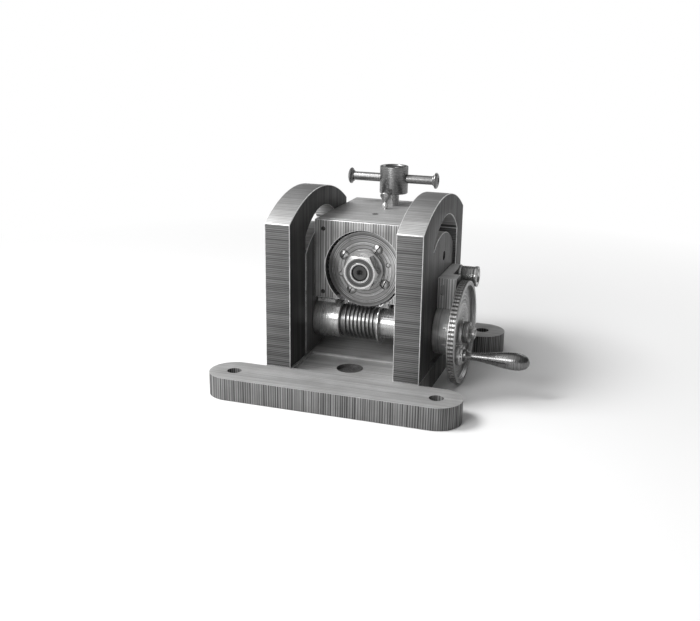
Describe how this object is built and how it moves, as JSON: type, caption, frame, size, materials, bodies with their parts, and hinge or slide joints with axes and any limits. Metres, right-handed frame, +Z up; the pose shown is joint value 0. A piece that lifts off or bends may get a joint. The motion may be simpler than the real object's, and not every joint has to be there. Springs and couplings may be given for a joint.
{
  "type": "worm-geared hand press",
  "caption": "Small hand press: a block with a worm-driven front spindle slides between two arched cheeks and is raised by a screw with a tommy bar.",
  "frame": {"origin": "centre of the base casting's underside", "axes": "+Z up, +X towards the handwheel, -Y towards the front where the spindle nut is"},
  "size_m": [0.4522, 0.398, 0.305],
  "materials": {
    "casting": "rough-machined grey casting",
    "planed": "planed and scraped grey iron",
    "bright": "turned bright steel",
    "dark": "blackened steel",
    "bronze": "turned bronze"
  },
  "bodies": {
    "frame": {"base_casting": "casting", "left_cheek": "planed", "right_cheek": "planed", "cheek_bolt_1": "dark", "cheek_bolt_2": "dark", "cheek_bolt_3": "dark", "cheek_bolt_4": "dark", "lift_nut": "bronze"},
    "head": {"head_block": "planed", "front_plate": "planed", "plate_screw_1": "dark", "plate_screw_2": "dark", "plate_screw_3": "dark", "plate_screw_4": "dark", "left_slide": "casting", "right_slide": "casting", "slide_screw_1": "dark", "slide_screw_2": "dark", "slide_screw_3": "dark", "slide_screw_4": "dark", "left_worm_bearing": "casting", "right_worm_bearing": "casting", "left_worm_bush": "bronze", "right_worm_bush": "bronze", "bearing_bracket": "casting", "bracket_screw_1": "dark", "bracket_screw_2": "dark", "index_drum": "planed", "spindle_front_bush": "bronze", "spindle_rear_bush": "bronze", "clamp_washer": "bright"},
    "spindle": {"spindle": "bright", "worm_wheel": "bronze", "wheel_cap": "bright", "cap_screw_1": "bright", "cap_screw_2": "bright", "cap_screw_3": "bright", "cap_screw_4": "bright", "cap_dowel_1": "dark", "cap_dowel_2": "dark", "spindle_washer": "bright", "spindle_nut": "bright"},
    "worm_shaft": {"worm": "bright", "worm_shaft": "bright", "handwheel": "bright", "handwheel_nut": "bright", "crank_pin": "bright"},
    "crank_grip": {"crank_grip": "bright"},
    "lift_screw": {"lift_screw": "bright", "stop_collar": "bright", "lever_hub": "bright", "hub_pin": "dark", "collar_pin": "dark"},
    "tommy_bar": {"tommy_bar": "bright", "left_tommy_knob": "bright", "right_tommy_knob": "bright"},
    "lock_screw": {"lock_screw": "bright"},
    "clamp_knob": {"clamp_knob": "bright"}
  },
  "joints": [
    {"name": "head_lift", "type": "slide", "parent": "frame", "child": "head", "axis": [0, 0, 1], "range_m": [0, 0.024]},
    {"name": "screw_turn", "type": "hinge", "parent": "head", "child": "lift_screw", "pos_m": [0, 0.131, 0.241], "axis": [0, 0, 1], "range_deg": [0, 2160]},
    {"name": "tommy_slide", "type": "slide", "parent": "lift_screw", "child": "tommy_bar", "axis": [1, 0, 0], "range_m": [-0.04, 0.042]},
    {"name": "worm_turn", "type": "hinge", "parent": "head", "child": "worm_shaft", "pos_m": [0, -0.005, 0.081], "axis": [1, 0, 0], "continuous": true},
    {"name": "spindle_turn", "type": "hinge", "parent": "head", "child": "spindle", "pos_m": [0, -0.005, 0.167], "axis": [0, 1, 0], "continuous": true},
    {"name": "crank_grip_turn", "type": "hinge", "parent": "worm_shaft", "child": "crank_grip", "pos_m": [0.1652, -0.04484, 0.058], "axis": [1, 0, 0], "continuous": true},
    {"name": "lock_turn", "type": "hinge", "parent": "head", "child": "lock_screw", "pos_m": [-0.0025, 0.092, 0.241], "axis": [0, 0, 1], "range_deg": [0, 180]},
    {"name": "clamp_turn", "type": "hinge", "parent": "head", "child": "clamp_knob", "pos_m": [0.1298, 0.06, 0.152], "axis": [1, 0, 0], "range_deg": [0, 270]}
  ],
  "couplings": [
    {"joint": "spindle_turn", "follows": "worm_turn", "ratio": 0.016667},
    {"joint": "screw_turn", "follows": "head_lift", "rad_per_m": 1570.8}
  ]
}
